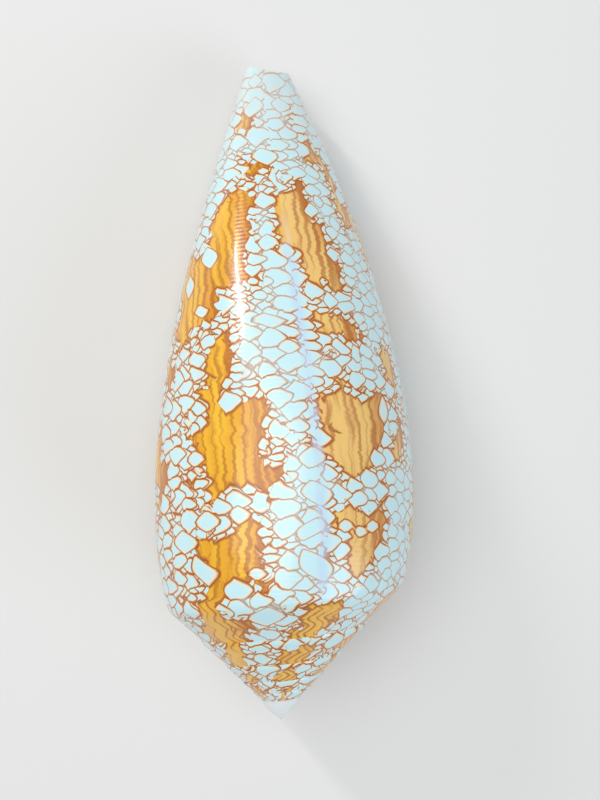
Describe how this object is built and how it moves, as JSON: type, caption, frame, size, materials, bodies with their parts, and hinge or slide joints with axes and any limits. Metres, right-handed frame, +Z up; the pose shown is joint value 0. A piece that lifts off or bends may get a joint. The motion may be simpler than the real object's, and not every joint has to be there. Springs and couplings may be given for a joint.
{
  "type": "cone shell",
  "caption": "Dextral cone-shaped sea shell lying on its slit aperture, with a low stepped spire and a tapering body marked with overlapping pale tents and ochre patches.",
  "frame": {"origin": "centre of the bounding box at the surface the shell lies on", "axes": "+Y along the shell towards the narrow front end, +X towards the lip side, +Z up through the rounded back"},
  "size_m": [0.0348, 0.0894, 0.0322],
  "materials": {
    "shell": "glossy natural shell, pale tents outlined in brown over ochre patches"
  },
  "bodies": {
    "root": {"shell": "shell"}
  },
  "joints": []
}
